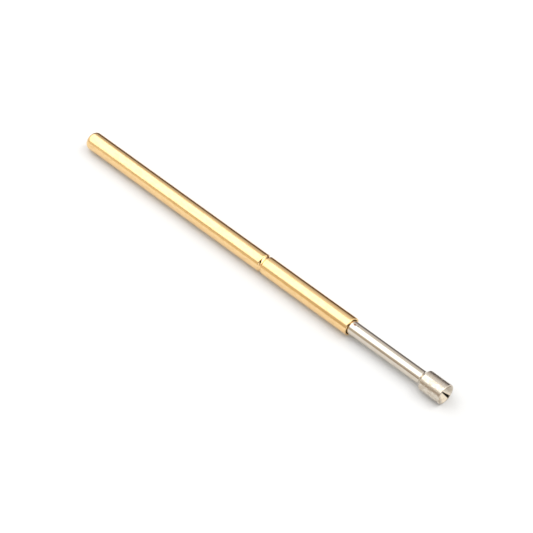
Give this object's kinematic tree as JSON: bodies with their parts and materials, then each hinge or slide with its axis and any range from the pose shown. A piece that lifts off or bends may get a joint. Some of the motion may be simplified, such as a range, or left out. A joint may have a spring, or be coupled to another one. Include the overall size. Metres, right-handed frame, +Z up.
{
  "type": "pogo pin",
  "caption": "Spring-loaded contact pin: a closed plated tube with a rolled groove holds a sliding plunger with a cup-shaped head.",
  "frame": {"origin": "on the pin's axis, in the plane of the barrel's mouth", "axes": "+X along the axis, out of the mouth towards the head; +Z up as the pin lies"},
  "size_m": [0.0333, 0.0014, 0.0016],
  "materials": {
    "gold_plating": "polished",
    "nickel_plating": "polished",
    "spring_wire": "satin"
  },
  "bodies": {
    "barrel": {"barrel": "gold_plating", "spring": "spring_wire"},
    "plunger": {"plunger": "nickel_plating"}
  },
  "joints": [
    {"name": "plunger_slide", "type": "slide", "parent": "barrel", "child": "plunger", "axis": [-1, 0, 0], "range_m": [0, 0.00635], "stiffness_N_per_m": 292, "springref_m": -0.00185, "deforming": ["spring"]}
  ]
}
